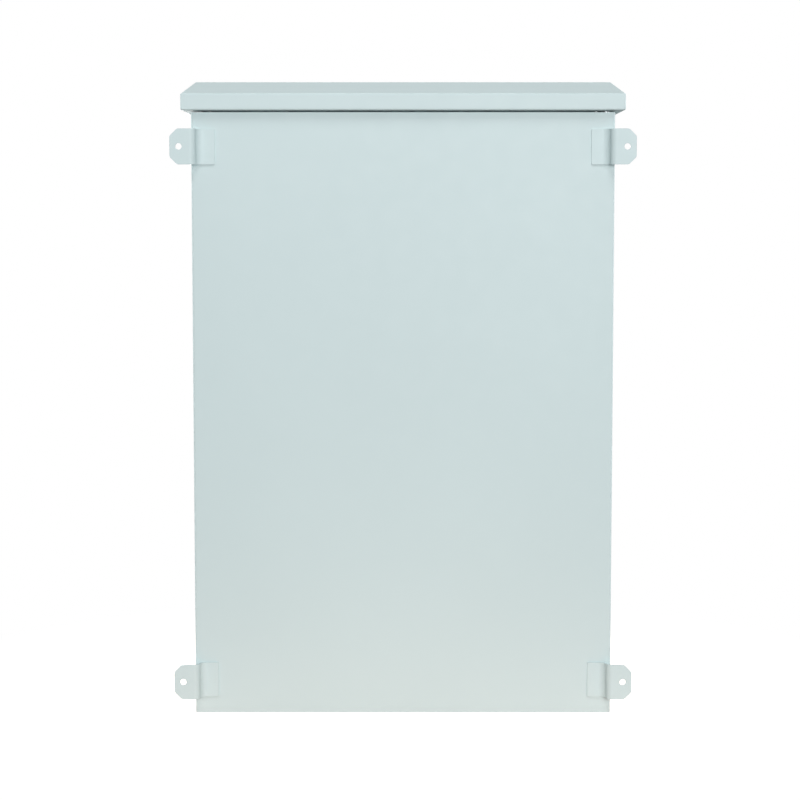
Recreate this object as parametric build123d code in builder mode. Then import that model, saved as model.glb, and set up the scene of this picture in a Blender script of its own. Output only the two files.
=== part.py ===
from build123d import *
import os
from math import radians, tan

os.makedirs("parts", exist_ok=True)

# Case: folded sheet, rear towards +Y, door towards -Y, underside at z = 0
case_width = 800
case_height = 1150
cabinet_depth = 250
case_sheet = 2
bend_radius = 4
pan_flange = 18
overrun = 5

# Fixing lugs: joggled straps on the rear panel
lug_standoff = 26
lug_thickness = 3
lug_height = 67
lug_reach = 38
lug_hole_reach = 21
lug_hole_diameter = 12
lug_end_distance = 65
lug_chamfer = 14
lug_corner_round = 8
lug_seat = 45
lug_seat_round = 3
lug_web_foot = 12
lug_web_head = 8.5
lug_foot_bend_radius = 14
lug_head_bend_radius = 8

# Front frame with its rain gutter
frame_width = 45
gutter_height = 12
frame_corner_radius = 14
frame_edge_round = 1.5

# Rain roof
roof_side_overhang = 18
roof_rear_overhang = 18
roof_front_overhang = 18
roof_gap = 3
roof_rim = 31
roof_slope = 7.9
roof_sheet = 2
roof_bend_radius = 3
roof_seat = 28
roof_rear_seat = 14
roof_front_hem = 16

# Roof fixings
roof_screw_inset = 40
roof_screw_rows = 3
roof_spacer_radius = 8

# Threaded fasteners of the case, nominal 8 mm
thread_radius = 4
thread_clearance = 0.05
clearance_hole_radius = 4.5
hex_flats = 13
nut_height = 6.5
head_height = 5.3
thread_end = 3

# Door
door_reveal = 15
door_gap = 1
door_depth = 21
door_sheet = 2
door_return = 14
door_corner_radius = 6
door_edge_radius = 3
seal_width = 14
seal_gap = 0.3
seal_round = 2.5

# Door stiffeners: hat sections
stiffener_place_share = 0.25
stiffener_crown = 34
stiffener_depth = 18
stiffener_foot = 16
stiffener_sheet = 1.5
stiffener_bend_radius = 3
stiffener_end = 60
stiffener_slot_length = 20
stiffener_slot_width = 8
stiffener_slot_pitch = 50

# Hinges
hinge_end_distance = 150
hinge_side_gap = 1
hinge_knuckle = 36
hinge_cap = 5
hinge_round = 3
hinge_web = 4
hinge_pin_radius = 4
hinge_pin_seat = 0.02
hinge_pin_running = 0.05
hinge_pin_end_gap = 1
hinge_washer = 1.5
hinge_washer_rim = 0.5

# Quarter-turn locks
lock_inset = 30
lock_spacing = 560
lock_head_radius = 16
lock_head = 5
lock_head_round = 1.5
lock_gasket = 1.5
lock_gasket_radius = 15
lock_barrel_radius = 11
lock_hole_clearance = 0.3
lock_nut_flats = 27
lock_nut = 5
lock_nut_clearance = 0.05
plug_radius = 7
plug_head_radius = 9
plug_head = 2.5
plug_recess = 1
plug_running = 0.05
plug_square = 8
socket_radius = 5
socket_depth = 8
socket_post_radius = 1.6
socket_bit_length = 7.4
socket_bit_width = 1.8
cam_clearance = 1.2
cam_end_gap = 0.4
cam_thickness = 3
cam_width = 22
cam_length = 52
cam_tip_round = 4
cam_fit = 0.05
cam_screw_radius = 3
cam_screw_length = 12
cam_screw_flats = 10
cam_screw_head = 4
cam_screw_fit = 0.02
cam_screw_tip_gap = 1

# Equipment plate
plate_side_margin = 45
plate_end_margin = 50
plate_standoff = 30
plate_thickness = 2.5
plate_fold = 15
plate_bend_radius = 4
plate_stud_inset = 40
plate_collar_radius = 8

# Cable entries
gland_opening_width = 115
gland_opening_depth = 85
gland_opening_round = 6
gland_rim = 18
gland_round = 8
gland_plate_thickness = 2
gland_gasket_thickness = 3
gland_place_share = 0.2
gland_thread_radius = 3
gland_hole_radius = 3.3
gland_nut_flats = 10
gland_nut_height = 5
gland_thread_end = 2

# Bonding points
earth_height = 130
earth_stud_length = 24
earth_foot_radius = 7
earth_foot = 3
earth_nut_gap = 6
door_earth_stud_length = 16
door_earth_inset = 60

# Places that follow from the sizes
half_width = case_width / 2
mid_height = case_height / 2
wall_y = (lug_standoff + cabinet_depth + roof_front_overhang) / 2
back_y = wall_y - lug_standoff
door_front_y = back_y - cabinet_depth
door_inner_y = door_front_y + door_sheet
door_back_y = door_front_y + door_depth
frame_y = door_back_y + door_gap
frame_back_y = frame_y + case_sheet
inner_back_y = back_y - case_sheet
inner_half_width = half_width - case_sheet
pan_width = 2 * inner_half_width
pan_depth = inner_back_y - frame_back_y
pan_y = (inner_back_y + frame_back_y) / 2
opening_width = case_width - 2 * frame_width
opening_height = case_height - 2 * frame_width
door_width = case_width - 2 * door_reveal
door_height = case_height - 2 * door_reveal
top_hole_z = case_height - lug_end_distance

# Case wrap: rear panel and side walls folded from one sheet
with BuildPart() as case_wrap:
    with BuildSketch(Plane.XY):
        with BuildLine():
            FilletPolyline(
                (-half_width, frame_back_y),
                (-half_width, back_y),
                (half_width, back_y),
                (half_width, frame_back_y),
                radius=bend_radius,
            )
            offset(amount=case_sheet, side=Side.RIGHT)
        make_face()
    extrude(amount=case_height)
case_wrap.part.label = "case_wrap"
export_step(case_wrap.part, "parts/case_wrap.step")

# Case top: pan set into the wrap, flush with its upper edge
roof_screw_x = half_width - roof_seat / 2
roof_screw_pitch = (pan_depth - 2 * roof_screw_inset) / (roof_screw_rows - 1)
roof_screw_places = [
    (side * roof_screw_x, pan_y + (row - (roof_screw_rows - 1) / 2) * roof_screw_pitch)
    for side in (-1, 1)
    for row in range(roof_screw_rows)
]
with BuildPart() as case_top:
    with BuildSketch(Plane.XY.offset(case_height - pan_flange)):
        with Locations((0, pan_y)):
            RectangleRounded(pan_width, pan_depth, bend_radius)
    extrude(amount=pan_flange)
    fillet(case_top.faces().sort_by(Axis.Z)[-1].edges(), radius=bend_radius)
    offset(amount=-case_sheet, openings=case_top.faces().sort_by(Axis.Z)[0])
    with BuildSketch(Plane.XY.offset(case_height - case_sheet - overrun)):
        with Locations(*roof_screw_places):
            Circle(clearance_hole_radius)
    extrude(amount=case_sheet + 2 * overrun, mode=Mode.SUBTRACT)
case_top.part.label = "case_top"
export_step(case_top.part, "parts/case_top.step")

# Case bottom: the same pan turned over, with two cable entries
gland_x = gland_place_share * case_width
with BuildPart() as case_bottom:
    with BuildSketch(Plane.XY):
        with Locations((0, pan_y)):
            RectangleRounded(pan_width, pan_depth, bend_radius)
    extrude(amount=pan_flange)
    fillet(case_bottom.faces().sort_by(Axis.Z)[0].edges(), radius=bend_radius)
    offset(amount=-case_sheet, openings=case_bottom.faces().sort_by(Axis.Z)[-1])
    with BuildSketch(Plane.XY.offset(-overrun)):
        with Locations((-gland_x, pan_y), (gland_x, pan_y)):
            RectangleRounded(gland_opening_width, gland_opening_depth, gland_opening_round)
    extrude(amount=case_sheet + 2 * overrun, mode=Mode.SUBTRACT)
case_bottom.part.label = "case_bottom"
export_step(case_bottom.part, "parts/case_bottom.step")

# Front frame: flat ring with a collar turned forward round the door opening
with BuildPart() as front_frame:
    with BuildSketch(Plane.XZ.offset(-frame_back_y)):
        with Locations((0, mid_height)):
            Rectangle(case_width, case_height)
    extrude(amount=case_sheet)
    with BuildSketch(Plane.XZ.offset(-frame_back_y)):
        with Locations((0, mid_height)):
            RectangleRounded(opening_width, opening_height, frame_corner_radius)
    extrude(amount=case_sheet + gutter_height)
    with BuildSketch(Plane.XZ.offset(-frame_back_y - overrun)):
        with Locations((0, mid_height)):
            RectangleRounded(
                opening_width - 2 * case_sheet,
                opening_height - 2 * case_sheet,
                frame_corner_radius - case_sheet,
            )
    extrude(amount=case_sheet + gutter_height + 2 * overrun, mode=Mode.SUBTRACT)
    frame_faces = front_frame.faces().filter_by(Axis.Y).sort_by(Axis.Y)
    gutter_root = frame_faces[1].inner_wires()[0].edges()
    opening_edge = frame_faces[-1].inner_wires()[0].edges()
    frame_edge = frame_faces[1].outer_wire().edges()
    fillet(gutter_root, radius=bend_radius - case_sheet)
    fillet(opening_edge, radius=bend_radius)
    fillet(frame_edge, radius=frame_edge_round)
front_frame.part.label = "front_frame"
export_step(front_frame.part, "parts/front_frame.step")

# Fixing lugs: a seat on the panel, a joggle and an ear with one hole
for side, side_name in ((-1, "left"), (1, "right")):
    for lug_z, end_name in ((top_hole_z, "upper"), (lug_end_distance, "lower")):
        lug_node = f"lug_{end_name}_{side_name}"
        with BuildPart() as lug:
            with BuildSketch(Plane.XY.offset(lug_z - lug_height / 2)):
                with BuildLine():
                    FilletPolyline(
                        (side * (half_width - lug_seat), back_y + lug_thickness),
                        (side * (half_width - lug_web_foot), back_y + lug_thickness),
                        (side * (half_width - lug_web_head), wall_y),
                        (side * (half_width + lug_reach), wall_y),
                        radius=(lug_foot_bend_radius, lug_head_bend_radius + lug_thickness),
                    )
                    offset(amount=lug_thickness, side=Side.RIGHT if side > 0 else Side.LEFT)
                make_face()
            extrude(amount=lug_height)
            lug_ends = lug.edges().filter_by(Axis.Y).sort_by(Axis.X)
            chamfer(lug_ends[-2:] if side > 0 else lug_ends[:2], length=lug_chamfer)
            lug_ends = lug.edges().filter_by(Axis.Y).sort_by(Axis.X)
            fillet(lug_ends[:2] if side > 0 else lug_ends[-2:], radius=lug_seat_round)
            fillet(lug_ends[2:] if side > 0 else lug_ends[:-2], radius=lug_corner_round)
            with BuildSketch(Plane.XZ.offset(-wall_y - overrun)):
                with Locations((side * (half_width + lug_hole_reach), lug_z)):
                    Circle(lug_hole_diameter / 2)
            extrude(amount=lug_thickness + 2 * overrun, mode=Mode.SUBTRACT)
        lug.part.label = lug_node
        export_step(lug.part, f"parts/{lug_node}.step")

# Rain roof: wedge-shaped lid with a rim all round and flanges turned in below
roof_width = case_width + 2 * roof_side_overhang
roof_rear_y = back_y + roof_rear_overhang
roof_front_y = door_front_y - roof_front_overhang
roof_bottom_z = case_height + roof_gap
roof_rear_z = roof_bottom_z + roof_rim
roof_front_z = roof_rear_z + (roof_rear_y - roof_front_y) * tan(radians(roof_slope))
roof_hole_y = (roof_front_y + roof_front_hem + back_y - roof_rear_seat) / 2
roof_hole_depth = back_y - roof_rear_seat - roof_front_y - roof_front_hem
with BuildPart() as rain_roof:
    with BuildSketch(Plane.YZ):
        Polygon(
            (roof_rear_y, roof_bottom_z),
            (roof_rear_y, roof_rear_z),
            (roof_front_y, roof_front_z),
            (roof_front_y, roof_bottom_z),
            align=None,
        )
    extrude(amount=roof_width / 2, both=True)
    fillet(rain_roof.edges(), radius=roof_bend_radius)
    offset(amount=-roof_sheet, mode=Mode.SUBTRACT)
    with BuildSketch(Plane.XY.offset(roof_bottom_z - overrun)):
        with Locations((0, roof_hole_y)):
            Rectangle(case_width - 2 * roof_seat, roof_hole_depth)
    extrude(amount=roof_sheet + 2 * overrun, mode=Mode.SUBTRACT)
    with BuildSketch(Plane.XY.offset(roof_bottom_z - overrun)):
        with Locations(*roof_screw_places):
            Circle(clearance_hole_radius)
    extrude(amount=roof_sheet + 2 * overrun, mode=Mode.SUBTRACT)
rain_roof.part.label = "rain_roof"
export_step(rain_roof.part, "parts/rain_roof.step")

# Roof spacers: rings that hold the roof clear of the case
with BuildPart() as roof_spacers:
    with BuildSketch(Plane.XY.offset(case_height)):
        with Locations(*roof_screw_places):
            Circle(roof_spacer_radius)
            Circle(clearance_hole_radius, mode=Mode.SUBTRACT)
    extrude(amount=roof_gap)
roof_spacers.part.label = "roof_spacers"
export_step(roof_spacers.part, "parts/roof_spacers.step")

# Roof screws: driven from inside the case
roof_screw_z = case_height - case_sheet
roof_nut_z = roof_bottom_z + roof_sheet
with BuildPart() as roof_screws:
    with BuildSketch(Plane.XY.offset(roof_screw_z - head_height)):
        with Locations(*roof_screw_places):
            RegularPolygon(hex_flats / 2, 6, major_radius=False)
    extrude(amount=head_height)
    with BuildSketch(Plane.XY.offset(roof_screw_z)):
        with Locations(*roof_screw_places):
            Circle(thread_radius)
    extrude(amount=roof_nut_z - roof_screw_z + nut_height + thread_end)
roof_screws.part.label = "roof_screws"
export_step(roof_screws.part, "parts/roof_screws.step")

# Roof nuts: welded on the roof flanges
with BuildPart() as roof_nuts:
    with BuildSketch(Plane.XY.offset(roof_nut_z)):
        with Locations(*roof_screw_places):
            RegularPolygon(hex_flats / 2, 6, major_radius=False)
            Circle(thread_radius + thread_clearance, mode=Mode.SUBTRACT)
    extrude(amount=nut_height)
roof_nuts.part.label = "roof_nuts"
export_step(roof_nuts.part, "parts/roof_nuts.step")

# Door panel: folded tray with returns at its back edge and two lock holes
lock_x = -(opening_width / 2 - case_sheet - lock_inset)
lock_places = (
    (mid_height + lock_spacing / 2, "upper"),
    (mid_height - lock_spacing / 2, "lower"),
)
with BuildPart() as door_panel:
    with BuildSketch(Plane.XZ.offset(-door_back_y)):
        with Locations((0, mid_height)):
            RectangleRounded(door_width, door_height, door_corner_radius)
    extrude(amount=door_depth)
    fillet(door_panel.faces().sort_by(Axis.Y)[0].edges(), radius=door_edge_radius)
    with BuildSketch(Plane.XZ.offset(-door_back_y + door_sheet)):
        with Locations((0, mid_height)):
            RectangleRounded(
                door_width - 2 * door_sheet,
                door_height - 2 * door_sheet,
                door_corner_radius - door_sheet,
            )
    extrude(amount=door_depth - 2 * door_sheet, mode=Mode.SUBTRACT)
    with BuildSketch(Plane.XZ.offset(-door_back_y - overrun)):
        with Locations((0, mid_height)):
            Rectangle(door_width - 2 * door_return, door_height - 2 * door_return)
    extrude(amount=door_sheet + 2 * overrun, mode=Mode.SUBTRACT)
    inner_face = door_panel.faces().filter_by(Axis.Y).group_by(Axis.Y)[1][0]
    fillet(inner_face.edges(), radius=door_edge_radius - door_sheet)
    with BuildSketch(Plane.XZ.offset(-door_inner_y - overrun)):
        with Locations(*[(lock_x, lock_z) for lock_z, lock_name in lock_places]):
            Circle(lock_barrel_radius + lock_hole_clearance)
    extrude(amount=door_sheet + 2 * overrun, mode=Mode.SUBTRACT)
door_panel.part.label = "door_panel"
export_step(door_panel.part, "parts/door_panel.step")

# Door seal: rubber ring that meets the edge of the gutter
seal_path_width = opening_width - case_sheet
seal_path_height = opening_height - case_sheet
seal_height = frame_y - gutter_height - door_inner_y - seal_gap
with BuildPart() as door_seal:
    with BuildSketch(Plane.XZ.offset(-door_inner_y)):
        with Locations((0, mid_height)):
            RectangleRounded(
                seal_path_width + seal_width,
                seal_path_height + seal_width,
                frame_corner_radius + seal_width / 2,
            )
            RectangleRounded(
                seal_path_width - seal_width,
                seal_path_height - seal_width,
                frame_corner_radius - seal_width / 2,
                mode=Mode.SUBTRACT,
            )
    extrude(amount=-seal_height)
    fillet(door_seal.faces().sort_by(Axis.Y)[-1].edges(), radius=seal_round)
door_seal.part.label = "door_seal"
export_step(door_seal.part, "parts/door_seal.step")

# Door stiffeners: slotted hat sections welded inside the door
stiffener_x = stiffener_place_share * door_width
stiffener_height = opening_height - 2 * stiffener_end
stiffener_crown_y = door_inner_y + stiffener_depth
slot_count = int((stiffener_height - stiffener_slot_pitch) / stiffener_slot_pitch)
for side, side_name in ((-1, "left"), (1, "right")):
    stiffener_node = f"door_stiffener_{side_name}"
    with BuildPart() as stiffener:
        with BuildSketch(Plane.XY.offset(mid_height - stiffener_height / 2)):
            with BuildLine():
                FilletPolyline(
                    (side * stiffener_x - stiffener_crown / 2 - stiffener_foot, door_inner_y),
                    (side * stiffener_x - stiffener_crown / 2, door_inner_y),
                    (side * stiffener_x - stiffener_crown / 2, stiffener_crown_y),
                    (side * stiffener_x + stiffener_crown / 2, stiffener_crown_y),
                    (side * stiffener_x + stiffener_crown / 2, door_inner_y),
                    (side * stiffener_x + stiffener_crown / 2 + stiffener_foot, door_inner_y),
                    radius=stiffener_bend_radius,
                )
                offset(amount=stiffener_sheet, side=Side.LEFT)
            make_face()
        extrude(amount=stiffener_height)
        with BuildSketch(Plane.XZ.offset(-stiffener_crown_y - stiffener_sheet - overrun)):
            with Locations((side * stiffener_x, mid_height)):
                with GridLocations(0, stiffener_slot_pitch, 1, slot_count):
                    SlotOverall(stiffener_slot_length, stiffener_slot_width, rotation=90)
        extrude(amount=stiffener_sheet + 2 * overrun, mode=Mode.SUBTRACT)
    stiffener.part.label = stiffener_node
    export_step(stiffener.part, f"parts/{stiffener_node}.step")

# Hinges: lift-off barrels that stand in the reveal beside the door
hinge_x = half_width - door_reveal / 2
hinge_y = (door_front_y + door_back_y) / 2
hinge_radius = door_reveal / 2 - hinge_side_gap
hinge_bore = hinge_knuckle - hinge_cap
door_side_x = door_width / 2
hinge_places = (
    (case_height - hinge_end_distance, "upper"),
    (mid_height, "middle"),
    (hinge_end_distance, "lower"),
)
for hinge_z, hinge_name in hinge_places:
    lower_top_z = hinge_z - hinge_washer / 2
    upper_foot_z = hinge_z + hinge_washer / 2

    # Frame half: lower barrel with a web welded to the frame
    frame_half_node = f"hinge_frame_half_{hinge_name}"
    with BuildPart() as frame_half:
        with BuildSketch(Plane.XY.offset(lower_top_z - hinge_knuckle)):
            with Locations((hinge_x, hinge_y)):
                Circle(hinge_radius)
        extrude(amount=hinge_knuckle)
        fillet(frame_half.faces().sort_by(Axis.Z)[0].edges(), radius=hinge_round)
        with BuildSketch(Plane.XY.offset(lower_top_z - hinge_knuckle + hinge_round)):
            with Locations((hinge_x, (hinge_y + frame_y) / 2)):
                Rectangle(hinge_web, frame_y - hinge_y)
        extrude(amount=hinge_knuckle - hinge_round)
        with BuildSketch(Plane.XY.offset(lower_top_z - hinge_bore)):
            with Locations((hinge_x, hinge_y)):
                Circle(hinge_pin_radius + hinge_pin_seat)
        extrude(amount=hinge_bore + overrun, mode=Mode.SUBTRACT)
    frame_half.part.label = frame_half_node
    export_step(frame_half.part, f"parts/{frame_half_node}.step")

    # Door half: upper barrel with a web welded to the side of the door
    door_half_node = f"hinge_door_half_{hinge_name}"
    with BuildPart() as door_half:
        with BuildSketch(Plane.XY.offset(upper_foot_z)):
            with Locations((hinge_x, hinge_y)):
                Circle(hinge_radius)
        extrude(amount=hinge_knuckle)
        fillet(door_half.faces().sort_by(Axis.Z)[-1].edges(), radius=hinge_round)
        with BuildSketch(Plane.XY.offset(upper_foot_z)):
            with Locations(((door_side_x + hinge_x) / 2, hinge_y)):
                Rectangle(hinge_x - door_side_x, hinge_web)
        extrude(amount=hinge_knuckle - hinge_round)
        with BuildSketch(Plane.XY.offset(upper_foot_z - overrun)):
            with Locations((hinge_x, hinge_y)):
                Circle(hinge_pin_radius + hinge_pin_running)
        extrude(amount=hinge_bore + overrun, mode=Mode.SUBTRACT)
    door_half.part.label = door_half_node
    export_step(door_half.part, f"parts/{door_half_node}.step")

    # Pin: stands in the frame half and carries the door half
    pin_node = f"hinge_pin_{hinge_name}"
    with BuildPart() as pin:
        with BuildSketch(Plane.XY.offset(lower_top_z - hinge_bore)):
            with Locations((hinge_x, hinge_y)):
                Circle(hinge_pin_radius)
        extrude(amount=2 * hinge_bore + hinge_washer - hinge_pin_end_gap)
        chamfer(pin.faces().sort_by(Axis.Z)[-1].edges(), length=hinge_pin_end_gap)
    pin.part.label = pin_node
    export_step(pin.part, f"parts/{pin_node}.step")

    # Washer between the two barrels
    washer_node = f"hinge_washer_{hinge_name}"
    with BuildPart() as washer:
        with BuildSketch(Plane.XY.offset(lower_top_z)):
            with Locations((hinge_x, hinge_y)):
                Circle(hinge_radius - hinge_washer_rim)
                Circle(hinge_pin_radius + hinge_pin_running, mode=Mode.SUBTRACT)
        extrude(amount=hinge_washer)
    washer.part.label = washer_node
    export_step(washer.part, f"parts/{washer_node}.step")

# Quarter-turn locks: a housing through the door, a plug that turns in it and a cam behind the frame
lock_gasket_y = door_front_y - lock_gasket
lock_head_y = lock_gasket_y - lock_head
cam_y = frame_back_y + cam_clearance
lock_barrel_y = cam_y - cam_end_gap
plug_y = lock_head_y + plug_recess
plug_back_y = cam_y + cam_thickness
for lock_z, lock_name in lock_places:
    # Gasket under the head
    gasket_node = f"lock_gasket_{lock_name}"
    with BuildPart() as gasket:
        with BuildSketch(Plane.XZ.offset(-door_front_y)):
            with Locations((lock_x, lock_z)):
                Circle(lock_gasket_radius)
                Circle(lock_barrel_radius + lock_hole_clearance, mode=Mode.SUBTRACT)
        extrude(amount=lock_gasket)
    gasket.part.label = gasket_node
    export_step(gasket.part, f"parts/{gasket_node}.step")

    # Housing: round head outside, barrel through the door
    housing_node = f"lock_housing_{lock_name}"
    with BuildPart() as housing:
        with BuildSketch(Plane.XZ.offset(-lock_gasket_y)):
            with Locations((lock_x, lock_z)):
                Circle(lock_head_radius)
        extrude(amount=lock_head)
        fillet(housing.faces().sort_by(Axis.Y)[0].edges(), radius=lock_head_round)
        with BuildSketch(Plane.XZ.offset(-lock_barrel_y)):
            with Locations((lock_x, lock_z)):
                Circle(lock_barrel_radius)
        extrude(amount=lock_barrel_y - lock_gasket_y)
        with BuildSketch(Plane.XZ.offset(-lock_barrel_y - overrun)):
            with Locations((lock_x, lock_z)):
                Circle(plug_radius + plug_running)
        extrude(amount=lock_barrel_y - lock_head_y + 2 * overrun, mode=Mode.SUBTRACT)
        with BuildSketch(Plane.XZ.offset(-plug_y - plug_head)):
            with Locations((lock_x, lock_z)):
                Circle(plug_head_radius + plug_running)
        extrude(amount=plug_head + plug_recess + overrun, mode=Mode.SUBTRACT)
    housing.part.label = housing_node
    export_step(housing.part, f"parts/{housing_node}.step")

    # Ring nut that clamps the housing to the door
    ring_nut_node = f"lock_nut_{lock_name}"
    with BuildPart() as ring_nut:
        with BuildSketch(Plane.XZ.offset(-door_inner_y)):
            with Locations((lock_x, lock_z)):
                RegularPolygon(lock_nut_flats / 2, 6, major_radius=False)
                Circle(lock_barrel_radius + lock_nut_clearance, mode=Mode.SUBTRACT)
        extrude(amount=-lock_nut)
    ring_nut.part.label = ring_nut_node
    export_step(ring_nut.part, f"parts/{ring_nut_node}.step")

    # Plug: key socket in front, square for the cam at the back
    plug_node = f"lock_plug_{lock_name}"
    with BuildPart() as plug:
        with BuildSketch(Plane.XZ.offset(-cam_y)):
            with Locations((lock_x, lock_z)):
                Circle(plug_radius)
        extrude(amount=cam_y - plug_y)
        with BuildSketch(Plane.XZ.offset(-plug_y - plug_head)):
            with Locations((lock_x, lock_z)):
                Circle(plug_head_radius)
        extrude(amount=plug_head)
        with BuildSketch(Plane.XZ.offset(-plug_back_y)):
            with Locations((lock_x, lock_z)):
                Rectangle(plug_square, plug_square)
        extrude(amount=cam_thickness)
        with BuildSketch(Plane.XZ.offset(-plug_y - socket_depth)):
            with Locations((lock_x, lock_z)):
                Circle(socket_radius)
                Circle(socket_post_radius, mode=Mode.SUBTRACT)
                Rectangle(socket_bit_length, socket_bit_width, mode=Mode.SUBTRACT)
        extrude(amount=socket_depth + overrun, mode=Mode.SUBTRACT)
        with BuildSketch(Plane.XZ.offset(-plug_back_y - overrun)):
            with Locations((lock_x, lock_z)):
                Circle(cam_screw_radius + cam_screw_fit)
        extrude(amount=cam_screw_length + cam_screw_tip_gap + overrun, mode=Mode.SUBTRACT)
    plug.part.label = plug_node
    export_step(plug.part, f"parts/{plug_node}.step")

    # Cam: hangs down when the lock is open
    cam_node = f"lock_cam_{lock_name}"
    with BuildPart() as cam:
        with BuildSketch(Plane.XZ.offset(-plug_back_y)):
            with Locations((lock_x, lock_z)):
                Circle(cam_width / 2)
            with Locations((lock_x, lock_z - cam_length / 2)):
                Rectangle(cam_width, cam_length)
            with Locations((lock_x, lock_z)):
                Rectangle(
                    plug_square + 2 * cam_fit,
                    plug_square + 2 * cam_fit,
                    mode=Mode.SUBTRACT,
                )
        extrude(amount=cam_thickness)
        fillet(cam.edges().filter_by(Axis.Y).sort_by(Axis.Z)[:2], radius=cam_tip_round)
    cam.part.label = cam_node
    export_step(cam.part, f"parts/{cam_node}.step")

    # Cam screw into the end of the plug
    cam_screw_node = f"lock_cam_screw_{lock_name}"
    with BuildPart() as cam_screw:
        with BuildSketch(Plane.XZ.offset(-plug_back_y)):
            with Locations((lock_x, lock_z)):
                RegularPolygon(cam_screw_flats / 2, 6, major_radius=False)
        extrude(amount=-cam_screw_head)
        with BuildSketch(Plane.XZ.offset(-plug_back_y)):
            with Locations((lock_x, lock_z)):
                Circle(cam_screw_radius)
        extrude(amount=cam_screw_length)
    cam_screw.part.label = cam_screw_node
    export_step(cam_screw.part, f"parts/{cam_screw_node}.step")

# Equipment plate: flat sheet with its long edges folded forward
plate_half_width = half_width - plate_side_margin
plate_height = case_height - 2 * plate_end_margin
plate_back_y = inner_back_y - plate_standoff
plate_front_y = plate_back_y - plate_thickness
plate_stud_places = [
    (x_side * (plate_half_width - plate_stud_inset), mid_height + z_side * (plate_height / 2 - plate_stud_inset))
    for x_side in (-1, 1)
    for z_side in (-1, 1)
]
with BuildPart() as mounting_plate:
    with BuildSketch(Plane.XY.offset(plate_end_margin)):
        with BuildLine():
            FilletPolyline(
                (-plate_half_width, plate_back_y - plate_fold),
                (-plate_half_width, plate_back_y),
                (plate_half_width, plate_back_y),
                (plate_half_width, plate_back_y - plate_fold),
                radius=plate_bend_radius,
            )
            offset(amount=plate_thickness, side=Side.RIGHT)
        make_face()
    extrude(amount=plate_height)
    with BuildSketch(Plane.XZ.offset(-plate_back_y - overrun)):
        with Locations(*plate_stud_places):
            Circle(clearance_hole_radius)
    extrude(amount=plate_thickness + 2 * overrun, mode=Mode.SUBTRACT)
mounting_plate.part.label = "mounting_plate"
export_step(mounting_plate.part, "parts/mounting_plate.step")

# Plate studs: collar and thread, welded inside the rear panel
with BuildPart() as plate_studs:
    with BuildSketch(Plane.XZ.offset(-inner_back_y)):
        with Locations(*plate_stud_places):
            Circle(plate_collar_radius)
    extrude(amount=plate_standoff)
    with BuildSketch(Plane.XZ.offset(-plate_back_y)):
        with Locations(*plate_stud_places):
            Circle(thread_radius)
    extrude(amount=plate_thickness + nut_height + thread_end)
plate_studs.part.label = "plate_studs"
export_step(plate_studs.part, "parts/plate_studs.step")

# Plate nuts
with BuildPart() as plate_nuts:
    with BuildSketch(Plane.XZ.offset(-plate_front_y)):
        with Locations(*plate_stud_places):
            RegularPolygon(hex_flats / 2, 6, major_radius=False)
            Circle(thread_radius + thread_clearance, mode=Mode.SUBTRACT)
    extrude(amount=nut_height)
plate_nuts.part.label = "plate_nuts"
export_step(plate_nuts.part, "parts/plate_nuts.step")

# Cable entries: blank plates on gaskets inside the case bottom
gland_stud_span_x = gland_opening_width + gland_rim
gland_stud_span_y = gland_opening_depth + gland_rim
gland_stud_places = [
    (side * gland_x + x_side * gland_stud_span_x / 2, pan_y + y_side * gland_stud_span_y / 2)
    for side in (-1, 1)
    for x_side in (-1, 1)
    for y_side in (-1, 1)
]
gland_plate_z = case_sheet + gland_gasket_thickness
gland_nut_z = gland_plate_z + gland_plate_thickness
for side, side_name in ((-1, "left"), (1, "right")):
    gland_gasket_node = f"gland_gasket_{side_name}"
    with BuildPart() as gland_gasket:
        with BuildSketch(Plane.XY.offset(case_sheet)):
            with Locations((side * gland_x, pan_y)):
                RectangleRounded(
                    gland_opening_width + 2 * gland_rim,
                    gland_opening_depth + 2 * gland_rim,
                    gland_round,
                )
                RectangleRounded(
                    gland_opening_width,
                    gland_opening_depth,
                    gland_opening_round,
                    mode=Mode.SUBTRACT,
                )
                with GridLocations(gland_stud_span_x, gland_stud_span_y, 2, 2):
                    Circle(gland_hole_radius, mode=Mode.SUBTRACT)
        extrude(amount=gland_gasket_thickness)
    gland_gasket.part.label = gland_gasket_node
    export_step(gland_gasket.part, f"parts/{gland_gasket_node}.step")

    gland_plate_node = f"gland_plate_{side_name}"
    with BuildPart() as gland_plate:
        with BuildSketch(Plane.XY.offset(gland_plate_z)):
            with Locations((side * gland_x, pan_y)):
                RectangleRounded(
                    gland_opening_width + 2 * gland_rim,
                    gland_opening_depth + 2 * gland_rim,
                    gland_round,
                )
                with GridLocations(gland_stud_span_x, gland_stud_span_y, 2, 2):
                    Circle(gland_hole_radius, mode=Mode.SUBTRACT)
        extrude(amount=gland_plate_thickness)
    gland_plate.part.label = gland_plate_node
    export_step(gland_plate.part, f"parts/{gland_plate_node}.step")

# Gland studs: welded on the case bottom
with BuildPart() as gland_studs:
    with BuildSketch(Plane.XY.offset(case_sheet)):
        with Locations(*gland_stud_places):
            Circle(gland_thread_radius)
    extrude(amount=gland_nut_z - case_sheet + gland_nut_height + gland_thread_end)
gland_studs.part.label = "gland_studs"
export_step(gland_studs.part, "parts/gland_studs.step")

# Gland nuts
with BuildPart() as gland_nuts:
    with BuildSketch(Plane.XY.offset(gland_nut_z)):
        with Locations(*gland_stud_places):
            RegularPolygon(gland_nut_flats / 2, 6, major_radius=False)
            Circle(gland_thread_radius + thread_clearance, mode=Mode.SUBTRACT)
    extrude(amount=gland_nut_height)
gland_nuts.part.label = "gland_nuts"
export_step(gland_nuts.part, "parts/gland_nuts.step")

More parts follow.
